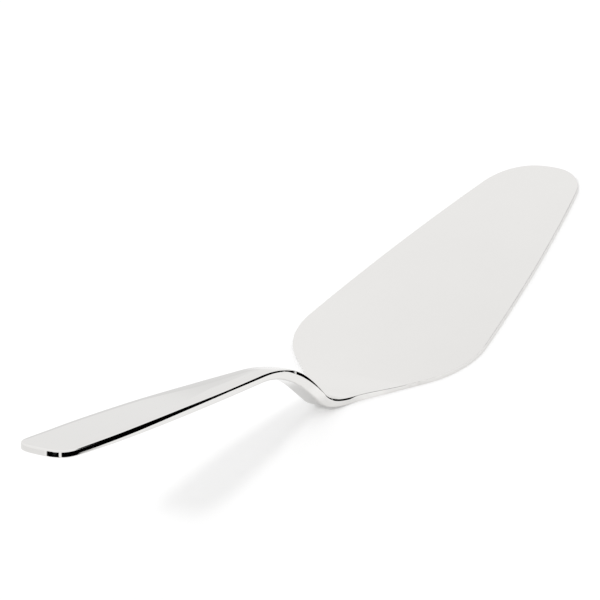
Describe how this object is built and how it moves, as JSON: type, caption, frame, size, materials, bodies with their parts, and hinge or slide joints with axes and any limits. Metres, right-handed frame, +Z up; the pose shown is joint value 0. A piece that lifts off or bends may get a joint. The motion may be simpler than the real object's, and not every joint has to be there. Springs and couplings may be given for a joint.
{
  "type": "cake server",
  "caption": "Polished steel cake server with a flat kite-shaped blade, a cranked neck and a slim raised handle.",
  "frame": {"origin": "on the flat underside of the blade, on the centre line, where the blade is widest", "axes": "+X along the blade towards its tip, +Y to the left, +Z up, square to the flat of the blade"},
  "size_m": [0.2671, 0.0638, 0.0681],
  "materials": {
    "handle_steel": "mirror polished stainless steel",
    "weld_steel": "ground flush and polished",
    "blade_steel": "mirror polished stainless steel"
  },
  "bodies": {
    "root": {"handle": "handle_steel", "weld_seam": "weld_steel", "blade": "blade_steel"}
  },
  "joints": []
}
